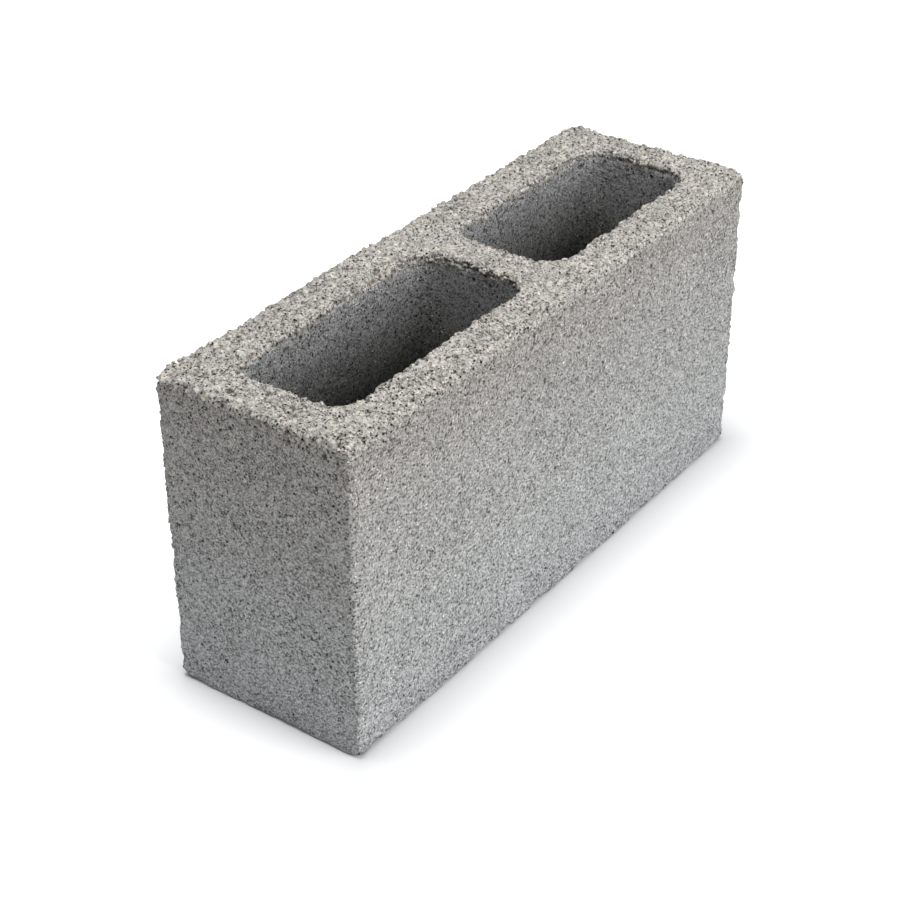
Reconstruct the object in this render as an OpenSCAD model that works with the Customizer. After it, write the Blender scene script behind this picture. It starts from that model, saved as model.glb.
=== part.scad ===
// Two-cell hollow concrete masonry block, one solid cast piece.
// Millimetres. The origin is the middle of the bottom bed face.
// +X runs along the length to the short cell's end, +Y across the thickness, +Z up to the open top.

/* [Block] */
// Length along the wall
length = 440; // [360:1:500]
// Thickness across the wall
thickness = 140; // [110:1:220]
// Height of one course
height = 215; // [180:1:240]

/* [Shells and webs] */
// Face shell on the -Y side, at the top of the cells
front_shell = 27; // [18:0.5:45]
// Face shell on the +Y side, at the top of the cells
back_shell = 31; // [18:0.5:45]
// End wall beside the long cell, at the top
long_cell_end_wall = 28; // [18:0.5:50]
// End wall beside the short cell, at the top
short_cell_end_wall = 26; // [18:0.5:50]
// Web between the two cells, at the top
middle_web = 28; // [18:0.5:60]
// Long cell, measured along the block at the top
long_cell = 188; // [100:1:230]

/* [Cell shape] */
// Corner radius of the cells at the top, seen in plan
cell_corner = 18; // [8:0.5:30]
// How far each cell wall leans in from the top of the cell to the bottom
cell_draft = 2; // [0.5:0.1:5]
// Rounding of the cell rims
cell_rim = 4; // [1:0.5:8]

/* [Outer edges] */
// Rounding of the edges round the top bed
top_edge = 4; // [1:0.5:8]
// Rounding of the edges round the bottom bed
bottom_edge = 2; // [0.5:0.5:6]
// Rounding of the four upright edges
upright_edge = 2.5; // [0.5:0.5:8]

/* [Hidden] */
$fn = 64;
overrun = 10;
cell_width = thickness - front_shell - back_shell;
cell_y = (front_shell - back_shell) / 2;
short_cell = length - long_cell_end_wall - long_cell - middle_web - short_cell_end_wall;
long_cell_x = -length / 2 + long_cell_end_wall + long_cell / 2;
short_cell_x = length / 2 - short_cell_end_wall - short_cell / 2;

// Rectangle centred on the origin with rounded corners.
module rounded_plan(along, across, corner) {
    difference() {
        square([along, across], center = true);
        for (sx = [-1, 1], sy = [-1, 1])
            scale([sx, sy])
                translate([along / 2 - corner, across / 2 - corner])
                    difference() {
                        square(corner + 1);
                        circle(corner);
                    }
    }
}

// Upright outline standing on the bed line, with its own rounding at the bottom and the top.
module rounded_elevation(wide) {
    difference() {
        translate([-wide / 2, 0])
            square([wide, height]);
        for (side = [0, 1])
            mirror([side, 0]) {
                translate([wide / 2 - top_edge, height - top_edge])
                    difference() {
                        square(top_edge + 1);
                        circle(top_edge);
                    }
                translate([wide / 2 - bottom_edge, bottom_edge])
                    mirror([0, 1])
                        difference() {
                            square(bottom_edge + 1);
                            circle(bottom_edge);
                        }
            }
    }
}

// The block before the cells: one outline in plan and two upright ones, met together.
module outer_block() {
    intersection() {
        translate([0, 0, -overrun])
            linear_extrude(height + 2 * overrun)
                rounded_plan(length, thickness, upright_edge);
        translate([0, thickness / 2 + overrun, 0])
            rotate([90, 0, 0])
                linear_extrude(thickness + 2 * overrun)
                    rounded_elevation(length);
        translate([-length / 2 - overrun, 0, 0])
            rotate([90, 0, 90])
                linear_extrude(length + 2 * overrun)
                    rounded_elevation(thickness);
    }
}

// Half of a cell's upright section: leaning wall, then the rounded rim flaring out at the top.
module cell_half_section(reach) {
    polygon([
        [0, -overrun],
        [reach - cell_draft, -overrun],
        [reach - cell_draft, 0],
        [reach, height - cell_rim],
        [reach, height + overrun],
        [0, height + overrun]
    ]);
    translate([reach - 1, height - cell_rim])
        difference() {
            square([cell_rim + 1, cell_rim + overrun]);
            translate([cell_rim + 1, 0])
                circle(cell_rim);
        }
}

// Whole upright section of a cell, as wide as twice the reach.
module cell_section(reach) {
    cell_half_section(reach);
    mirror([1, 0])
        cell_half_section(reach);
}

// The hollow of one cell: two crossing slabs and four round corners.
module cell(along, across) {
    flat_x = along / 2 - cell_corner;
    flat_y = across / 2 - cell_corner;
    translate([0, flat_y, 0])
        rotate([90, 0, 0])
            linear_extrude(2 * flat_y)
                cell_section(along / 2);
    translate([-flat_x, 0, 0])
        rotate([90, 0, 90])
            linear_extrude(2 * flat_x)
                cell_section(across / 2);
    for (sx = [-1, 1], sy = [-1, 1])
        translate([sx * flat_x, sy * flat_y, 0])
            rotate_extrude()
                cell_half_section(cell_corner);
}

// The cast piece with both cells open from bed to bed.
module hollow_block() {
    color([0.66, 0.65, 0.62])
        difference() {
            outer_block();
            translate([long_cell_x, cell_y, 0])
                cell(long_cell, cell_width);
            translate([short_cell_x, cell_y, 0])
                cell(short_cell, cell_width);
        }
}

hollow_block();
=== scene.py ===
"""Two-cell hollow concrete masonry block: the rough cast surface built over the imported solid.
The scene is in metres, and the skin is worked out in millimetres before it is made a mesh."""

import itertools
import math

import bpy
import numpy as np
from mathutils import Matrix, Vector


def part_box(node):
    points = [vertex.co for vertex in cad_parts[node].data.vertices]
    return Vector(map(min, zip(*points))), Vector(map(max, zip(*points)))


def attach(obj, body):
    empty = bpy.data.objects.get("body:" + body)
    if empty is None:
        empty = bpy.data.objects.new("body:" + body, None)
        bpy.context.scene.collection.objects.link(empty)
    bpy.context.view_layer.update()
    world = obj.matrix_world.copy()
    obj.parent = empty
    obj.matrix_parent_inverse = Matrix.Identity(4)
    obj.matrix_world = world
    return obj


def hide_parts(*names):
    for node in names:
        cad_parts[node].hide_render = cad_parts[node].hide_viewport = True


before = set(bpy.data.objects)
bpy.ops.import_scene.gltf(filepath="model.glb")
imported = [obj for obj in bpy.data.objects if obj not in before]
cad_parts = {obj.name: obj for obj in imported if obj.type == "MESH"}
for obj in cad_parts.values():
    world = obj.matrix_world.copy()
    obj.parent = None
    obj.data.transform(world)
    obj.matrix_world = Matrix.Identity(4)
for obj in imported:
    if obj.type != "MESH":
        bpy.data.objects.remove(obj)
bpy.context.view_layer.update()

MM = 0.001

# Sizes of the cast block, in millimetres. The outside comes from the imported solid, and the walls and
# cells are as in its source. Edges are rounded a little less, because the relief wears them down.
BLOCK_LOW, BLOCK_HIGH = (np.array(corner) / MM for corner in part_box("hollow_block"))
LENGTH, THICKNESS, HEIGHT = BLOCK_HIGH - BLOCK_LOW
END_WALLS = (28.0, 26.0)
LONG_CELL = 188.0
WEB = 28.0
FRONT_SHELL, BACK_SHELL = 27.0, 31.0
CELL_CORNER = 18.0
CELL_DRAFT = 2.0
CELL_RIM = 2.6
TOP_EDGE = 3.0
BOTTOM_EDGE = 2.0
UPRIGHT_EDGE = 2.0

# How the skin is divided: steps across each strip of the top, in multiples of four, and the spacing
# of the rings on the bed and its rims, on the outer sides and in the cells.
STEPS_ALONG = (28, 188, 28, 168, 28)
STEPS_ACROSS = (28, 80, 32)
BED_STEP = 1.0
FACE_STEP = 1.25
CELL_STEP = 2.2
# Depth below the top that the open, knobbly texture of the bed reaches down the sides.
OPEN_DEPTH = 10.0
# Width of the finely divided rim of the underside.
UNDERSIDE_RIM = 7.0
# Distance in from the outline past which the surfaces get painted shade: in the cells and underneath.
CELLS_BEGIN = 12.0
# Height of a rammed stone as a share of its width.
FLATTENED = 0.6


# ---------------------------------------------------------------- number fields

def hashed(cells, salt):
    """One number from 0 to 1 for each whole-numbered cell: its three indices and the salt are mixed as
    32-bit integers by multiplying, shifting and exclusive-or. Each salt gives a field of its own."""
    i, j, k = (cells[..., axis].astype(np.int64) for axis in range(3))
    mixed = (i * 73856093) ^ (j * 19349663) ^ (k * 83492791) ^ (salt * 2654435761)
    mixed &= 0xFFFFFFFF
    for shift, factor in ((15, 0x2C1B3C6D), (12, 0x297A2D39), (15, 0x45D9F3B)):
        mixed = ((mixed ^ (mixed >> shift)) * factor) & 0xFFFFFFFF
    return (mixed ^ (mixed >> 16)) / 4294967296.0


def smooth_step(low, high, value):
    """0 below low, 1 above high, and 3t^2 - 2t^3 between."""
    t = np.clip((value - low) / (high - low), 0, 1)
    return t * t * (3 - 2 * t)


def drift(points, size, salt):
    """Smooth random field from -1 to 1 with bumps `size` apart: hashed numbers at the corners of a
    cubic lattice, blended along each axis by 3t^2 - 2t^3."""
    scaled = points / size
    cell = np.floor(scaled)
    t = scaled - cell
    t = t * t * (3 - 2 * t)
    total = 0
    for corner in np.ndindex(2, 2, 2):
        weight = np.prod(np.where(np.array(corner) == 1, t, 1 - t), axis=-1)
        total = total + weight * hashed(cell + np.array(corner), salt)
    return 2 * total - 1


def stones(points, normals, spacing, radii, proud, sink, salt):
    """Height of a surface packed with round stones, and a tone for each stone.
    One stone sits at a random place in each cell of a cubic lattice. Where the line through a point
    along its normal meets a stone, the height is a + f sqrt(r^2 - b^2), with a the centre's height over
    the point, b its distance from the line and f how far ramming has flattened it. The highest stone
    wins, and bare ground is at -sink. A stone's top is never more than its own share of `proud` above
    the surface."""
    home = np.floor(points / spacing)
    height = np.full(len(points), -float(sink))
    tone = np.full(len(points), 0.5)
    for offset in np.ndindex(3, 3, 3):
        cell = home + np.array(offset) - 1
        jitter = np.stack([hashed(cell, salt + axis) for axis in range(3)], axis=-1)
        centre = (cell + 0.08 + 0.84 * jitter) * spacing
        radius = radii[0] + (radii[1] - radii[0]) * hashed(cell, salt + 3)
        to_centre = centre - points
        above = np.einsum("ij,ij->i", to_centre, normals)
        aside = np.einsum("ij,ij->i", to_centre, to_centre) - above ** 2
        cap = proud * hashed(cell, salt + 4)
        lifted = np.minimum(above, cap - FLATTENED * radius)
        top = lifted + FLATTENED * np.sqrt(np.maximum(radius ** 2 - aside, 0))
        wins = (aside < radius ** 2) & (top > height)
        height = np.where(wins, top, height)
        tone = np.where(wins, hashed(cell, salt + 5), tone)
    return height, tone


def pits(points, spacing, radii, share, salt):
    """Depth of round-bottomed holes. In each cell of a cubic lattice whose own number is under `share`
    there is one ball at a random place, and within its radius the hole is r (1 - (d/r)^2) deep."""
    home = np.floor(points / spacing)
    depth = np.zeros(len(points))
    for offset in np.ndindex(3, 3, 3):
        cell = home + np.array(offset) - 1
        jitter = np.stack([hashed(cell, salt + axis) for axis in range(3)], axis=-1)
        away = np.linalg.norm((cell + jitter) * spacing - points, axis=1)
        radius = radii[0] + (radii[1] - radii[0]) * hashed(cell, salt + 3)
        there = hashed(cell, salt + 4) < share
        depth = np.maximum(depth, there * radius * (1 - np.minimum(away / radius, 1) ** 2))
    return depth


# ---------------------------------------------------------------- the skin's grid

def loop_sides(half_long, half_short, radius, steps_long, steps_short, centre):
    """The four sides of a rounded rectangle, anticlockwise from the -X -Y corner, each from the middle
    of one corner arc to the middle of the next with evenly spaced points: over the middle straight the
    point is (t, -r), and past it the excess e turns round the corner as (r sin(e/r), -r cos(e/r))."""
    sides = []
    for turn, (half, reach, steps) in enumerate(
        ((half_long, half_short, steps_long), (half_short, half_long, steps_short)) * 2
    ):
        straight = half - radius
        total = 2 * straight + radius * math.pi / 2
        t = np.linspace(-total / 2, total / 2, steps + 1)
        along = np.clip(t, -straight, straight)
        angle = (t - along) / radius
        u = along + radius * np.sin(angle)
        v = -(reach - radius) - radius * np.cos(angle)
        quarter = turn * math.pi / 2
        x = u * round(math.cos(quarter)) - v * round(math.sin(quarter))
        y = u * round(math.sin(quarter)) + v * round(math.cos(quarter))
        sides.append(np.stack([x, y], axis=-1) + np.array(centre))
    return sides


def coons(bottom, top, left, right):
    """Fills a four-sided patch from its edges: the blend across plus the blend up, less the plain blend
    of the four corners."""
    u = np.linspace(0, 1, len(bottom))[:, None, None]
    v = np.linspace(0, 1, len(left))[None, :, None]
    across = (1 - v) * bottom[:, None] + v * top[:, None]
    upward = (1 - u) * left[None] + u * right[None]
    corners = (1 - v) * ((1 - u) * bottom[0] + u * bottom[-1]) + v * ((1 - u) * top[0] + u * top[-1])
    return across + upward - corners


def cell_places():
    """Centre and half sizes of the two cells at the top, left to right."""
    low_x, high_x = -LENGTH / 2 + END_WALLS[0], LENGTH / 2 - END_WALLS[1]
    edges = ((low_x, low_x + LONG_CELL), (low_x + LONG_CELL + WEB, high_x))
    centre_y = (FRONT_SHELL - BACK_SHELL) / 2
    half_y = (THICKNESS - FRONT_SHELL - BACK_SHELL) / 2
    return [(((a + b) / 2, centre_y), (b - a) / 2, half_y) for a, b in edges]


def outer_sides(depth, share):
    """The block's outline in plan, `depth` into the concrete, in 1/share of the full number of steps.
    Its corners get sharper by 0.4 of the depth, as far as a radius of 0.8."""
    radius = max(UPRIGHT_EDGE - 0.4 * depth, 0.8)
    steps = sum(STEPS_ALONG) // share, sum(STEPS_ACROSS) // share
    return loop_sides(LENGTH / 2 - depth, THICKNESS / 2 - depth, radius, *steps, (0, 0))


def cell_sides(number, depth, share):
    """A cell's outline in plan, `depth` into the concrete, in 1/share of the full number of steps."""
    centre, half_x, half_y = cell_places()[number]
    steps = STEPS_ALONG[1 + 2 * number] // share, STEPS_ACROSS[1] // share
    return loop_sides(half_x + depth, half_y + depth, CELL_CORNER + depth, *steps, centre)


def bed(outer, cells, height, share):
    """The flat of a bed as thirteen patches round the two cells, each filled from its four edges. Edges
    follow the outline and the cells, and straight lines join a cell's corners to the outline."""
    along = np.concatenate([[0], np.cumsum(STEPS_ALONG)]) // share
    across = np.concatenate([[0], np.cumsum(STEPS_ACROSS)]) // share
    front, right, back, left = outer[0], outer[1], outer[2][::-1], outer[3][::-1]
    knots = np.zeros((6, 4, 2))
    knots[:, 0], knots[:, 3] = front[along], back[along]
    knots[0], knots[5] = left[across], right[across]
    for number, cell in enumerate(cells):
        first = 1 + 2 * number
        knots[first, 1], knots[first + 1, 1] = cell[0][0], cell[0][-1]
        knots[first + 1, 2], knots[first, 2] = cell[2][0], cell[2][-1]

    # Edges are numbered by the knots they start from: i counts along the block and j across it.
    def line(start, end, steps):
        return start + (end - start) * np.linspace(0, 1, steps + 1)[:, None]

    def level_edge(i, j):
        if j in (0, 3):
            return (front, back)[j // 3][along[i]:along[i + 1] + 1]
        if i in (1, 3):
            return cells[i // 2][0] if j == 1 else cells[i // 2][2][::-1]
        return line(knots[i, j], knots[i + 1, j], along[i + 1] - along[i])

    def upright_edge(i, j):
        if i in (0, 5):
            return (left, right)[i // 5][across[j]:across[j + 1] + 1]
        if j == 1:
            cell = cells[(i - 1) // 2]
            return cell[3][::-1] if i in (1, 3) else cell[1]
        return line(knots[i, j], knots[i, j + 1], across[j + 1] - across[j])

    sheets = []
    for i in range(5):
        for j in range(3):
            if j == 1 and i in (1, 3):
                continue
            patch = coons(level_edge(i, j), level_edge(i, j + 1),
                          upright_edge(i, j), upright_edge(i + 1, j))
            sheets.append(np.dstack([patch, np.full(patch.shape[:2], float(height))]))
    return sheets


class Skin:
    """Collects sheets of points and the faces between them, then joins points that coincide."""

    def __init__(self):
        self.points, self.faces, self.count = [], [], 0

    def place(self, grid):
        """Adds a grid of points and gives their numbers in the same layout."""
        index = np.arange(self.count, self.count + grid.shape[0] * grid.shape[1]).reshape(grid.shape[:2])
        self.points.append(grid.reshape(-1, 3))
        self.count += index.size
        return index

    def sheet(self, grid, flip=False):
        """Four-sided faces between neighbouring points of a grid."""
        index = self.place(grid)
        quads = np.stack([index[:-1, :-1], index[1:, :-1], index[1:, 1:], index[:-1, 1:]], axis=-1)
        self.add(quads.reshape(-1, 4), flip)

    def wall(self, rings, inward=False):
        """Faces between closed rings that follow one another downward."""
        self.sheet(np.stack([np.concatenate([ring, ring[:1]]) for ring in rings]), flip=inward)

    def halve(self, ring, coarse, inward=False):
        """Three triangles for each pair of steps: joins a ring to one below with half as many points."""
        upper, lower = self.place(ring[None])[0], self.place(coarse[None])[0]
        a, b, c = upper[0::2], upper[1::2], np.roll(upper, -2)[0::2]
        d, e = lower, np.roll(lower, -1)
        threes = ((a, d, b), (b, d, e), (b, e, c))
        self.add(np.concatenate([np.stack(three, axis=-1) for three in threes]), inward)

    def add(self, faces, flip):
        """Keeps faces, each turned the other way round if `flip`."""
        self.faces.append(faces[:, ::-1] if flip else faces)

    def joined(self):
        """Each place once, to a ten-thousandth of a millimetre, and the faces on those places."""
        points = np.concatenate(self.points)
        keys = np.round(points * 1e4).astype(np.int64)
        _, first, same = np.unique(keys, axis=0, return_index=True, return_inverse=True)
        same = same.reshape(-1)
        return points[first], [same[faces] for faces in self.faces]


def spaced(start, end, step):
    """Numbers from start to end in equal steps no longer than `step`."""
    return np.linspace(start, end, int(math.ceil(abs(end - start) / step)) + 1)


def round_edge(radius):
    """Depth and drop along a quarter circle of this radius, from the flat to the wall."""
    return [(radius * (1 - math.sin(turn)), radius * (1 - math.cos(turn)))
            for turn in spaced(0, math.pi / 2, BED_STEP / radius)]


def closed_ring(sides, height):
    """The four sides of an outline as one closed loop of points at a height."""
    loop = np.concatenate([side[:-1] for side in sides])
    return np.column_stack([loop, np.full(len(loop), float(height))])


def outer_rings():
    """Rings down the outside and in under its rim, in three grades of fineness."""
    fine = [closed_ring(outer_sides(depth, 1), HEIGHT - drop) for depth, drop in round_edge(TOP_EDGE)]
    heights = spaced(HEIGHT - TOP_EDGE, BOTTOM_EDGE, FACE_STEP)
    fine += [closed_ring(outer_sides(0, 1), height) for height in heights[1:-1]]
    fine += [closed_ring(outer_sides(depth, 1), drop) for depth, drop in round_edge(BOTTOM_EDGE)[::-1]]
    middle = [closed_ring(outer_sides(BOTTOM_EDGE + extra, 2), 0) for extra in (1.5, 3.0)]
    return fine, middle, [closed_ring(outer_sides(UNDERSIDE_RIM, 4), 0)]


def cell_rings(number):
    """Rings down a cell in three grades of fineness. The cell narrows evenly by its draft on the way."""
    def at(depth, height, share):
        return closed_ring(cell_sides(number, depth - CELL_DRAFT * (1 - height / HEIGHT), share), height)

    open_end = HEIGHT - OPEN_DEPTH
    fine = [at(depth, HEIGHT - drop, 1) for depth, drop in round_edge(CELL_RIM)]
    fine += [at(0, height, 1) for height in spaced(HEIGHT - CELL_RIM, open_end, BED_STEP)[1:]]
    middle = [at(0, height, 2) for height in spaced(open_end - CELL_STEP, 4 * CELL_STEP, CELL_STEP)]
    coarse = [at(0, height, 4) for height in (2.5 * CELL_STEP, BOTTOM_EDGE)]
    return fine, middle, coarse + [at(BOTTOM_EDGE, 0, 4)]


def block_surface():
    """Points and faces of the whole surface, closed: both beds, the outside and the two cells."""
    skin = Skin()
    for rings, inward in ((outer_rings(), False), (cell_rings(0), True), (cell_rings(1), True)):
        fine, middle, coarse = rings
        for grade in rings:
            skin.wall(grade, inward)
        skin.halve(fine[-1], middle[0], inward)
        skin.halve(middle[-1], coarse[0], inward)
    mouths = [cell_sides(n, CELL_RIM, 1) for n in range(2)]
    for sheet in bed(outer_sides(TOP_EDGE, 1), mouths, HEIGHT, 1):
        skin.sheet(sheet)
    foot = [cell_sides(n, BOTTOM_EDGE - CELL_DRAFT, 4) for n in range(2)]
    for sheet in bed(outer_sides(UNDERSIDE_RIM, 4), foot, 0, 4):
        skin.sheet(sheet, flip=True)
    return skin.joined()


def point_normals(points, groups):
    """Unit normal at each point: the cross products of the diagonals of the faces round it, summed."""
    total = np.zeros_like(points)
    for faces in groups:
        corner = points[faces]
        normal = np.cross(corner[:, 2] - corner[:, 0], corner[:, -1] - corner[:, 1])
        for column in faces.T:
            for axis in range(3):
                total[:, axis] += np.bincount(column, normal[:, axis], len(points))
    return total / np.linalg.norm(total, axis=1, keepdims=True)


# ---------------------------------------------------------------- relief

def openness(points):
    """1 on the struck top bed, where the stones stand open, falling to 0 a few millimetres down the
    moulded sides along a wandering line."""
    below = HEIGHT - points[:, 2]
    wander = drift(points, 9.0, 11) + 0.5 * drift(points, 4.0, 12)
    return 1 - smooth_step(2.2 + 1.6 * wander, 6.0 + 2.2 * wander, below)


def from_outline(points):
    """Distance in from the block's outline in plan."""
    return np.minimum(LENGTH / 2 - np.abs(points[:, 0]), THICKNESS / 2 - np.abs(points[:, 1]))


def from_upright_arris(points):
    """Distance in plan from the nearest corner of the block's outline."""
    return np.hypot(LENGTH / 2 - np.abs(points[:, 0]), THICKNESS / 2 - np.abs(points[:, 1]))


def crumbling(points):
    """1 on the outside's upright and bottom arrises, falling to 0 some millimetres away."""
    foot = np.hypot(from_outline(points), points[:, 2])
    return 1 - smooth_step(1.0, 5.5, np.minimum(from_upright_arris(points), foot))


def shaken(points):
    """The points moved by a smooth random field, so that what is drawn on them is crooked."""
    return points + 0.7 * np.stack([drift(points, 2.6, salt) for salt in (14, 15, 16)], axis=-1)


def rammed_relief(points, normals):
    """Lift, stone tone and painted shade on the bed: three sizes of packed stones, whichever is highest,
    on a slow wave, less round holes, with the holes and the ground between stones painted dark as shade.
    The edges and sides are worn back and chipped, but on the edges the stones stand twice as far out.
    The block's corners are rounded off."""
    crooked = shaken(points)
    level = np.abs(normals[:, 2])
    worn = 1 - smooth_step(0.8, 0.99, level)
    edge = smooth_step(0.15, 0.6, level) * worn
    # Spacing, least and greatest radius, how far the tops may stand out, and salt.
    sizes = ((6.6, (1.8, 4.0), 1.5, 20), (4.4, (1.4, 2.7), 1.2, 27), (2.9, (0.8, 1.6), 0.4, 34))
    sink = 3.0
    packed = [stones(crooked, normals, spacing, radii, proud * (1 + edge), sink, salt)
              for spacing, radii, proud, salt in sizes]
    height = np.max([own for own, _ in packed], axis=0)
    tone = np.select([own >= height for own, _ in packed], [own_tone for _, own_tone in packed])
    wave = 0.7 + 0.7 * drift(points, 36.0, 41) + 0.6 * drift(points, 13.0, 42)
    holes = 1.2 * pits(crooked, 6.5, (0.9, 2.8), 0.6, 80)
    chips = worn * (1.3 + 2.4 * np.maximum(drift(points, 8.0, 43), 0))
    chips += 3.0 * (1 - smooth_step(0, 8, from_upright_arris(points)))
    return height + wave - chips - holes, tone, smooth_step(0.6, 2.2, holes - height)


def moulded_relief(points):
    """Lift, and painted shade in the pits, on the sides: fine grain on slow swells, less pits, wider and
    closer near the top, and less the crumbs lost from the arrises and the rounding of the bottom
    corners."""
    crooked = shaken(points)
    near_top = smooth_step(34, 6, HEIGHT - points[:, 2])
    holes = np.maximum(pits(crooked, 9.0, (0.6, 1.8), 0.35, 50),
                       near_top * pits(crooked, 5.0, (0.7, 2.1), 0.55, 60))
    swell = 0.2 * drift(points, 15.0, 44) + 0.22 * drift(points, 60.0, 45)
    grain = 0.12 * drift(points, 3.4, 46) + 0.10 * drift(points, 2.1, 47)
    lost = 1.7 * np.maximum(drift(points, 7.0, 48), 0) + 1.8 * drift(points, 2.7, 49) ** 2
    lost += 3.0 * (1 - smooth_step(0, 7, np.hypot(from_upright_arris(points), points[:, 2])))
    return swell + grain - holes - crumbling(points) * lost, smooth_step(0.3, 1.1, holes)


def hollows(groups, lift):
    """How far each point lies below the middle of its surroundings: the mean over the faces round it,
    taken twice, less its own lift."""
    mean = lift
    for _ in range(2):
        total, count = np.zeros(len(lift)), np.zeros(len(lift))
        for faces in groups:
            level = mean[faces].mean(axis=1)
            for column in faces.T:
                total += np.bincount(column, level, len(lift))
                count += np.bincount(column, minlength=len(lift))
        mean = total / count
    return mean - lift


def roughened(points, normals, groups):
    """Moves each point along its normal by the relief of its place, and says how bare it is."""
    bare = openness(points)
    lift, hollow_dust_and_painted_shade = moulded_relief(points)
    tone = np.full(len(points), 0.5)
    near = bare > 0
    rammed, stone_tone, stone_hollow_shade = rammed_relief(points[near], normals[near])
    lift[near] += bare[near] * (rammed - lift[near])
    hollow_dust_and_painted_shade[near] += bare[near] * (stone_hollow_shade - hollow_dust_and_painted_shade[near])
    tone[near] += bare[near] * (stone_tone - 0.5)
    # Painted shade, partly dust, in the hollows of the bed, where the surface lies below its
    # surroundings.
    hollow_dust_and_painted_shade = np.maximum(hollow_dust_and_painted_shade, bare * smooth_step(0.18, 0.75, hollows(groups, lift)))
    moved = points + normals * lift[:, None]
    moved[:, 2] = np.maximum(moved[:, 2], 0)
    fading = 16.0
    near_top = np.exp(-(HEIGHT - points[:, 2]) / fading)
    inner = from_outline(points) > CELLS_BEGIN
    return moved, {"open": bare, "tone": tone, "hollow_dust_and_painted_shade": hollow_dust_and_painted_shade, "near_top": near_top, "inner": inner}


# ---------------------------------------------------------------- grains

def grain_shape():
    """Points and faces of an icosahedron: the corners of three golden rectangles, and a face for each
    three of them that are neighbours."""
    golden = (1 + math.sqrt(5)) / 2
    corners = [(0, y, z) for y in (-1, 1) for z in (-golden, golden)]
    points = np.array([np.roll(corner, turn) for turn in range(3) for corner in corners])
    faces = []
    for three in itertools.combinations(range(12), 3):
        a, b, c = points[list(three)]
        if max(np.linalg.norm(a - b), np.linalg.norm(b - c), np.linalg.norm(c - a)) < 2.1:
            outward = np.dot(np.cross(b - a, c - a), a) > 0
            faces.append(three if outward else three[::-1])
    return points / np.linalg.norm(points[0]), np.array(faces)


def grains(centres, normals, sizes, rng):
    """One lump for each centre: the ball with each point pushed in or out at random, turned at random,
    and flattened along the surface's normal."""
    ball, faces = grain_shape()
    count = len(centres)
    reach = rng.normal(1, 0.15, (count, len(ball), 1)) * rng.uniform(0.7, 1.15, (count, 1, 3))
    turned = np.linalg.qr(rng.normal(size=(count, 3, 3)))[0]
    turned *= np.linalg.det(turned)[:, None, None]
    lump = np.einsum("nij,nkj->nki", turned, ball * reach)
    height = np.einsum("nki,ni->nk", lump, normals)[..., None]
    lump = lump - (1 - FLATTENED) * height * normals[:, None]
    points = centres[:, None] + lump * sizes[:, None, None]
    index = faces[None] + (np.arange(count) * len(ball))[:, None, None]
    return points.reshape(-1, 3), index.reshape(-1, 3)


def scattered(points, spacing, limit, rng):
    """Picks up to `limit` points about `spacing` apart: a random order, then the first in each cell of a
    lattice."""
    order = rng.permutation(len(points))
    cells = np.floor(points[order] / spacing + rng.uniform(0, 1, 3)).astype(np.int64)
    _, first = np.unique(cells, axis=0, return_index=True)
    return rng.permutation(order[first])[:limit]


# ---------------------------------------------------------------- materials

def linear(code):
    """An sRGB hex colour as linear red, green, blue and alpha."""
    parts = [int(code[i:i + 2], 16) / 255 for i in (1, 3, 5)]
    return tuple(p / 12.92 if p <= 0.04045 else ((p + 0.055) / 1.055) ** 2.4 for p in parts) + (1.0,)


def add(tree, kind, inputs=None, **settings):
    """Adds a shader node, sets its properties, and fills its inputs: a node's first open output or a
    socket is linked, and anything else is set."""
    node = tree.nodes.new("ShaderNode" + kind)
    for name, value in settings.items():
        setattr(node, name, value)
    for name, value in (inputs or {}).items():
        if isinstance(value, bpy.types.Node):
            value = next(output for output in value.outputs if output.enabled)
        if isinstance(value, bpy.types.NodeSocket):
            tree.links.new(value, node.inputs[name])
        else:
            node.inputs[name].default_value = value
    return node


def cell_number(tree, place, size_mm):
    """A Voronoi pattern with cells of this size, and a random number for each cell."""
    pattern = add(tree, "TexVoronoi", {"Vector": place, "Scale": 1000.0 / size_mm})
    return pattern, add(tree, "SeparateColor", {"Color": pattern.outputs["Color"]})


def spots(tree, place, size_mm, share, radii, luck):
    """Round spots, 1 inside and 0 outside: where a cell's random number and `luck` come to more than
    1 - share the cell has a spot, larger for a larger number. Radii are shares of the cell's size."""
    pattern, number = cell_number(tree, place, size_mm)
    drawn = add(tree, "Math", {0: number, 1: luck}, operation="ADD")
    there = add(tree, "Math", {0: drawn, 1: 1 - share}, operation="GREATER_THAN")
    radius = add(tree, "MapRange", {"Value": drawn, "From Min": 1 - share, "From Max": 1.0,
                                    "To Min": radii[0], "To Max": radii[1]})
    within = add(tree, "Math", {0: radius, 1: pattern}, operation="SUBTRACT")
    return add(tree, "MapRange", {"Value": within, "From Min": 0.0, "From Max": 0.06, "To Max": there})


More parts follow.
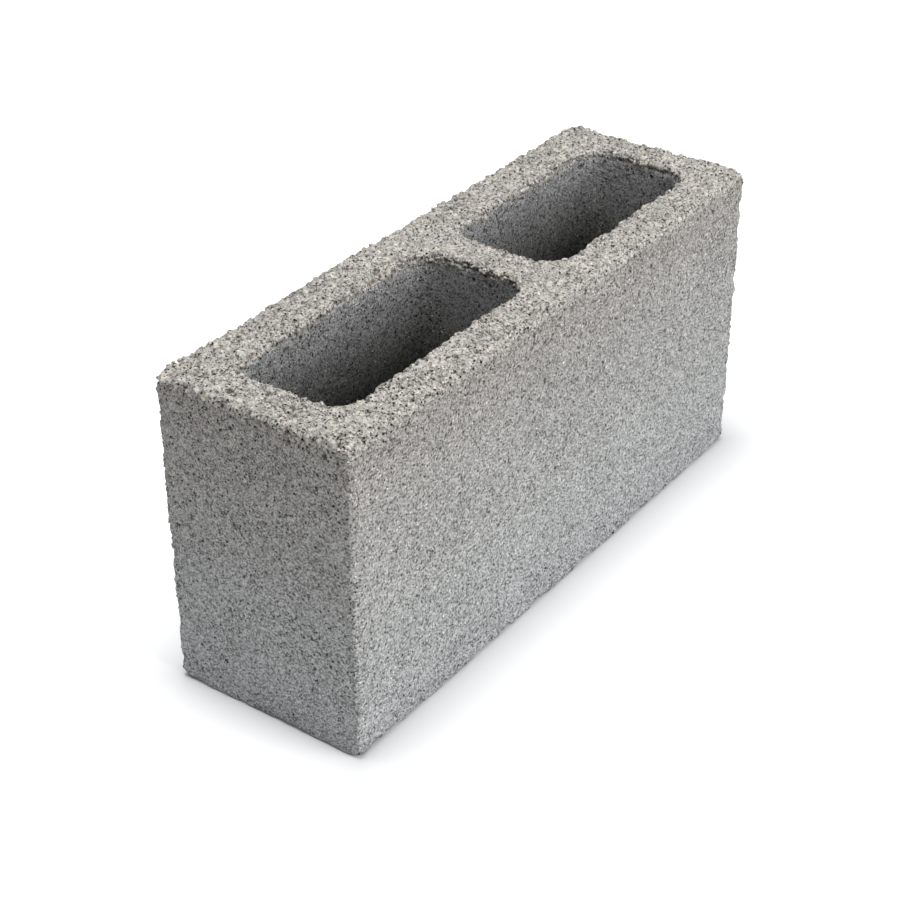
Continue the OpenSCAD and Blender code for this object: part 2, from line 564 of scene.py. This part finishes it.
def cast_concrete():
    """Pressed dense aggregate concrete: semi-dry mix rammed in a steel mould and stripped at once, so it
    is dead matt and sandy grey, with odd pale grit showing. Its small pores, hairline gaps and the
    hollows between its stones are painted near black as shade, with some dust in the hollows."""
    material = bpy.data.materials.new("pressed_dense_aggregate_concrete")
    material.use_nodes = True
    tree = material.node_tree
    tree.nodes.clear()
    own = add(tree, "TexCoord").outputs["Object"]
    bare, tone, hollow_dust_and_painted_shade, near_top, inner = (
        add(tree, "Attribute", attribute_name=label).outputs["Fac"]
        for label in ("open", "tone", "hollow_dust_and_painted_shade", "near_top", "inner"))

    # Places shaken by half a millimetre, so that no spot is round.
    shake = add(tree, "TexNoise", {"Vector": own, "Scale": 700.0, "Detail": 2.0}).outputs["Color"]
    place = add(tree, "VectorMath", {0: shake, 1: (0.0011, 0.0011, 0.0011), 2: own},
                operation="MULTIPLY_ADD")

    # Pores: black spots of four sizes, of which one is closer near the top, and thin gaps along parts of
    # the edges of a cell pattern. Their black is painted shade in the holes and hairline gaps.
    luck = add(tree, "Math", {0: near_top, 1: 0.3}, operation="MULTIPLY")
    dark = spots(tree, place, 3.6, 0.5, (0.09, 0.25), luck)
    for size_mm, share, radii, blackness in (
        (7.0, 0.65, (0.09, 0.17), 1.0), (2.2, 0.48, (0.17, 0.38), 1.0), (1.4, 0.5, (0.22, 0.42), 0.8)
    ):
        pores = spots(tree, place, size_mm, share, radii, 0.0)
        pores = add(tree, "Math", {0: pores, 1: blackness}, operation="MULTIPLY")
        dark = add(tree, "Math", {0: dark, 1: pores}, operation="MAXIMUM")
    edges = add(tree, "TexVoronoi", {"Vector": place, "Scale": 333.0}, feature="DISTANCE_TO_EDGE")
    somewhere = add(tree, "TexNoise", {"Vector": own, "Scale": 330.0, "Detail": 1.0})
    width = add(tree, "MapRange", {"Value": somewhere, "From Min": 0.55, "From Max": 0.72,
                                   "To Max": 0.09})
    crack = add(tree, "Math", {0: width, 1: edges}, operation="GREATER_THAN")
    crack = add(tree, "Math", {0: crack, 1: 0.7}, operation="MULTIPLY")
    dark = add(tree, "Math", {0: dark, 1: crack}, operation="MAXIMUM")

    # Brightness: raised or lowered by sand, grit, dust, slow stains and the tone of each stone.
    sand = cell_number(tree, place, 0.9)[1]
    grit = cell_number(tree, place, 2.4)[1]
    dust = add(tree, "TexNoise", {"Vector": own, "Scale": 620.0, "Detail": 4.0, "Roughness": 0.7})
    stain = add(tree, "TexNoise", {"Vector": own, "Scale": 24.0, "Detail": 3.0})
    amounts = ((grit, 0.24), (dust, 0.7), (stain, 0.25), (tone, 0.5))
    brightness = 1 - sum(amount for _, amount in amounts) / 2
    for source, amount in amounts:
        brightness = add(tree, "Math", {0: source, 1: amount, 2: brightness}, operation="MULTIPLY_ADD")
    centred = add(tree, "Math", {0: sand, 1: 0.5}, operation="SUBTRACT")
    strength = add(tree, "MapRange", {"Value": bare, "To Min": 1.08, "To Max": 0.6})
    brightness = add(tree, "Math", {0: centred, 1: strength, 2: brightness}, operation="MULTIPLY_ADD")

    # Colour: warmer toward the top and on the open bed, with pale grit, and lighter and cooler at the
    # foot, which is painted light from the floor. The cells and the underside are painted darker as
    # shade, cool grey, and darker further down.
    height = add(tree, "SeparateXYZ", {"Vector": own}).outputs["Z"]
    upward = add(tree, "MapRange", {"Value": height, "From Min": 0.0, "From Max": HEIGHT * MM})
    # Painted light from the floor: the outside is lighter and cooler toward the foot.
    outside = add(tree, "Mix", {"Factor": upward, "A": linear("#A1A4A4"), "B": linear("#918E89")},
                  data_type="RGBA")
    # Painted shade in the cells: dark at the bottom, lighter toward the rim.
    cell_shade_fade = add(tree, "MapRange", {"Value": upward, "From Min": 0.6, "From Max": 1.0})
    cell_painted_shade = add(tree, "Mix", {"Factor": cell_shade_fade, "A": linear("#686865"), "B": linear("#9B9C9C")},
               data_type="RGBA")
    moulded = add(tree, "Mix", {"Factor": inner, "A": outside, "B": cell_painted_shade}, data_type="RGBA")
    body = add(tree, "Mix", {"Factor": bare, "A": moulded, "B": linear("#B1AEA8")}, data_type="RGBA")
    tan = add(tree, "MapRange", {"Value": tone, "From Min": 0.6, "From Max": 1.0, "To Max": 0.4})
    tinted = add(tree, "Mix", {"Factor": tan, "A": body, "B": linear("#B4A597")}, data_type="RGBA")
    varied = add(tree, "VectorMath", {0: tinted, "Scale": brightness}, operation="SCALE")
    grit_spots = spots(tree, place, 2.1, 0.3, (0.10, 0.32), 0.0)
    pale = add(tree, "Math", {0: grit_spots, 1: 0.8}, operation="MULTIPLY")
    speckled = add(tree, "Mix", {"Factor": pale, "A": varied, "B": linear("#F0ECE4")}, data_type="RGBA")
    # Painted shade: pores, hairline gaps, pits and the hollows between stones are darkened toward near
    # black; in the hollows it stands partly for dust.
    hollow_shade_and_dust_amount = add(tree, "Math", {0: hollow_dust_and_painted_shade, 1: 0.85}, operation="MULTIPLY")
    within = add(tree, "Math", {0: dark, 1: 0.96}, operation="MULTIPLY")
    shade = add(tree, "Math", {0: within, 1: hollow_shade_and_dust_amount}, operation="MAXIMUM")
    colour = add(tree, "Mix", {"Factor": shade, "A": speckled, "B": linear("#1C1B1A")}, data_type="RGBA")

    # Relief in metres: dust and sand stand up, pores go in.
    raised = add(tree, "Math", {0: dust, 1: 0.0014}, operation="MULTIPLY")
    raised = add(tree, "Math", {0: sand, 1: 0.0001, 2: raised}, operation="MULTIPLY_ADD")
    relief = add(tree, "Math", {0: dark, 1: -0.0006, 2: raised}, operation="MULTIPLY_ADD")
    bump = add(tree, "Bump", {"Height": relief, "Strength": 1.0, "Distance": 1.0})
    surface = add(tree, "BsdfPrincipled", {"Base Color": colour, "Normal": bump, "Roughness": 0.95,
                                           "Specular IOR Level": 0.25})
    add(tree, "OutputMaterial", {"Surface": surface})
    return material


concrete = cast_concrete()


# ---------------------------------------------------------------- pieces

def make_piece(name, points, groups, attributes):
    """A smooth-shaded concrete mesh at the origin, from points in millimetres."""
    mesh = bpy.data.meshes.new(name)
    faces = [face for group in groups for face in group.tolist()]
    mesh.from_pydata((points * MM).tolist(), [], faces)
    mesh.polygons.foreach_set("use_smooth", np.ones(len(faces), bool))
    for label, values in attributes.items():
        mesh.attributes.new(label, "FLOAT", "POINT").data.foreach_set("value", values.astype(np.float32))
    mesh.materials.append(concrete)
    mesh.update()
    piece = bpy.data.objects.new(name, mesh)
    bpy.context.scene.collection.objects.link(piece)
    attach(piece, "root")
    return piece


base_points, skin_faces = block_surface()
base_normals = point_normals(base_points, skin_faces)
skin_points, skin_marks = roughened(base_points, base_normals, skin_faces)
skin_normals = point_normals(skin_points, skin_faces)


def skin_part(name, region):
    """The faces of the skin in a region, given by their centres before roughening, with the normals that
    the whole skin has, so that no seam shows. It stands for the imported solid."""
    kept = [faces[region(base_points[faces].mean(axis=1))] for faces in skin_faces]
    used = np.unique(np.concatenate([faces.ravel() for faces in kept]))
    place = np.zeros(len(base_points), int)
    place[used] = np.arange(len(used))
    marks = {label: values[used] for label, values in skin_marks.items()}
    piece = make_piece(name, skin_points[used], [place[faces] for faces in kept], marks)
    piece.data.normals_split_custom_set_from_vertices(skin_normals[used].tolist())
    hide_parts("hollow_block")


def on_bed(centres):
    """The bed and the open, knobbly top of the sides and cells."""
    return centres[:, 2] > HEIGHT - OPEN_DEPTH


def on_outside(centres):
    """The outer sides and the rim of the underside."""
    return ~on_bed(centres) & (from_outline(centres) < UNDERSIDE_RIM)


def make_skin():
    """Four pieces that share their borders, so that none is too large."""
    skin_part("bed_skin", on_bed)
    skin_part("front_skin", lambda centres: on_outside(centres) & (centres[:, 1] < 0))
    skin_part("back_skin", lambda centres: on_outside(centres) & (centres[:, 1] >= 0))
    skin_part("cell_skin", lambda centres: ~on_bed(centres) & ~on_outside(centres))


def make_grains(name, kinds, bare, rng):
    """Grains sunk in the skin, of several kinds: the points that they may sit on, how far apart, how
    many at most, and their least and greatest radius."""
    picked, sizes = [], []
    for allowed, spacing, limit, least, most in kinds:
        own = np.flatnonzero(allowed)
        own = own[scattered(skin_points[own], spacing, limit, rng)]
        picked.append(own)
        sizes.append(least + (most - least) * rng.uniform(0, 1, len(own)) ** 1.5)
    picked, sizes = np.concatenate(picked), np.concatenate(sizes)
    sunk = (sizes * rng.uniform(0.1, 0.5, len(picked)))[:, None] * skin_normals[picked]
    points, faces = grains(skin_points[picked] - sunk, skin_normals[picked], sizes, rng)
    points[:, 2] = np.maximum(points[:, 2], 0)
    count = len(points)
    tone = np.repeat(rng.uniform(0, 1, len(picked)), count // len(picked))
    near_top = np.repeat(skin_marks["near_top"][picked], count // len(picked))
    none = np.zeros(count)
    make_piece(name, points, [faces], {"open": np.full(count, bare), "tone": tone, "hollow_dust_and_painted_shade": none,
                                       "near_top": near_top, "inner": none})


make_skin()
open_bed = skin_marks["open"] > 0.5
bed_edge = open_bed & (np.abs(base_normals[:, 2]) < 0.97)
make_grains("bed_grains", ((open_bed, 3.5, 3600, 1.1, 2.3), (open_bed, 2.2, 3800, 0.6, 1.2),
                           (bed_edge, 3.4, 1900, 1.4, 2.9)), 1.0, np.random.default_rng(5))
arris = (crumbling(base_points) > 0.3) & (base_points[:, 2] > 2)
make_grains("arris_grains", ((arris & ~open_bed, 2.4, 3000, 0.7, 1.8),), 0.0, np.random.default_rng(6))


# ---------------------------------------------------------------- stage

def acrylic(name, colour, glow_in_painted_shadow, glow_past_painted_shadow):
    """Dead matt glowing acrylic with no glint. Its glow is a painted shadow round the block: dim next to
    the block's outline, growing with the square root of the distance, and even past a set reach."""
    material = bpy.data.materials.new(name)
    material.use_nodes = True
    tree = material.node_tree
    tree.nodes.clear()
    place = add(tree, "TexCoord").outputs["Object"]
    mirrored = add(tree, "VectorMath", {0: place}, operation="ABSOLUTE")
    half_block = (LENGTH / 2 * MM, THICKNESS / 2 * MM, 0)
    past = add(tree, "VectorMath", {0: mirrored, 1: half_block}, operation="SUBTRACT")
    outside = add(tree, "VectorMath", {0: past, 1: (0, 0, 0)}, operation="MAXIMUM")
    away = add(tree, "VectorMath", {0: outside}, operation="LENGTH").outputs["Value"]
    root = add(tree, "Math", {0: away, 1: 0.5}, operation="POWER")
    painted_shadow_reach = 0.15
    glow_with_painted_shadow = add(tree, "MapRange", {"Value": root, "From Min": 0.0, "From Max": math.sqrt(painted_shadow_reach),
                                  "To Min": glow_in_painted_shadow, "To Max": glow_past_painted_shadow})
    surface = add(tree, "BsdfPrincipled", {
        "Base Color": linear(colour), "Roughness": 1.0, "Specular IOR Level": 0.0,
        "Emission Color": linear("#FBFCFF"), "Emission Strength": glow_with_painted_shadow})
    add(tree, "OutputMaterial", {"Surface": surface})
    return material


def make_floor():
    """A glowing white plate whose glow is dimmed round the block as a painted shadow, with a dark unlit
    grey sheet under the block that puts painted shade in the bottoms of the cells and keeps the plate's
    glow out of them."""
    half, card = 1.3, (0.21, 0.06)
    across, along = (-half, -card[0], card[0], half), (-half, -card[1], card[1], half)
    corners = [(x, y, 0.0) for x in across for y in along]
    starts = [4 * i + j for i in range(3) for j in range(3)]
    faces = [(start, start + 4, start + 5, start + 1) for start in starts]
    mesh = bpy.data.meshes.new("floor")
    mesh.from_pydata(corners, [], faces)
    mesh.polygons.foreach_set("material_index", [int(number == 4) for number in range(9)])
    # The white plate's glow is dim next to the block: a painted shadow.
    mesh.materials.append(acrylic("white_glowing_floor_with_painted_shadow", "#D3D4D5", 0.03, 0.64))
    mesh.materials.append(acrylic("dark_card_painted_cell_shade", "#3A3A3A", 0.0, 0.0))
    floor = bpy.data.objects.new("floor", mesh)
    bpy.context.scene.collection.objects.link(floor)


def softbox(name, place, size, watts):
    """A square lamp facing the middle of the block."""
    lamp = bpy.data.lights.new(name, "AREA")
    lamp.shape = "SQUARE"
    lamp.size = size
    lamp.energy = watts
    box = bpy.data.objects.new(name, lamp)
    box.location = place
    toward_block = Vector((0, 0, 0.1)) - box.location
    box.rotation_euler = toward_block.to_track_quat("-Z", "Y").to_euler()
    bpy.context.scene.collection.objects.link(box)


def make_light():
    """A low softbox on the long front face, a large one overhead, and a dim white room round them."""
    softbox("front_softbox", (0.05, -1.5, 0.85), 1.1, 27.0)
    softbox("overhead_softbox", (-0.2, 0.3, 2.3), 1.4, 52.0)
    world = bpy.data.worlds.new("room")
    bpy.context.scene.world = world
    world.use_nodes = True
    tree = world.node_tree
    tree.nodes.clear()
    seen = add(tree, "LightPath").outputs["Is Camera Ray"]
    dim, white = 0.23, 1.0
    strength = add(tree, "MapRange", {"Value": seen, "To Min": dim, "To Max": white})
    room = add(tree, "Background", {"Color": (1, 1, 1, 1), "Strength": strength})
    add(tree, "OutputWorld", {"Surface": room})


def make_camera():
    """Near the long cell's end and the front, above the block, looking down along it."""
    camera = bpy.data.cameras.new("camera")
    camera.sensor_width = 36.0
    camera.lens = 77.65
    stand = bpy.data.objects.new("camera", camera)
    place = Vector((-0.89562, -0.62016, 0.76359))
    right = Vector((0.58099, -0.81391, -0.00289))
    forward = Vector((0.68783, 0.49288, -0.53288))
    turned = Matrix((right, (-forward).cross(right), -forward)).transposed()
    stand.matrix_world = Matrix.Translation(place) @ turned.to_4x4()
    bpy.context.scene.collection.objects.link(stand)
    bpy.context.scene.camera = stand


make_floor()
make_light()
make_camera()
bpy.context.scene.view_settings.view_transform = "Standard"
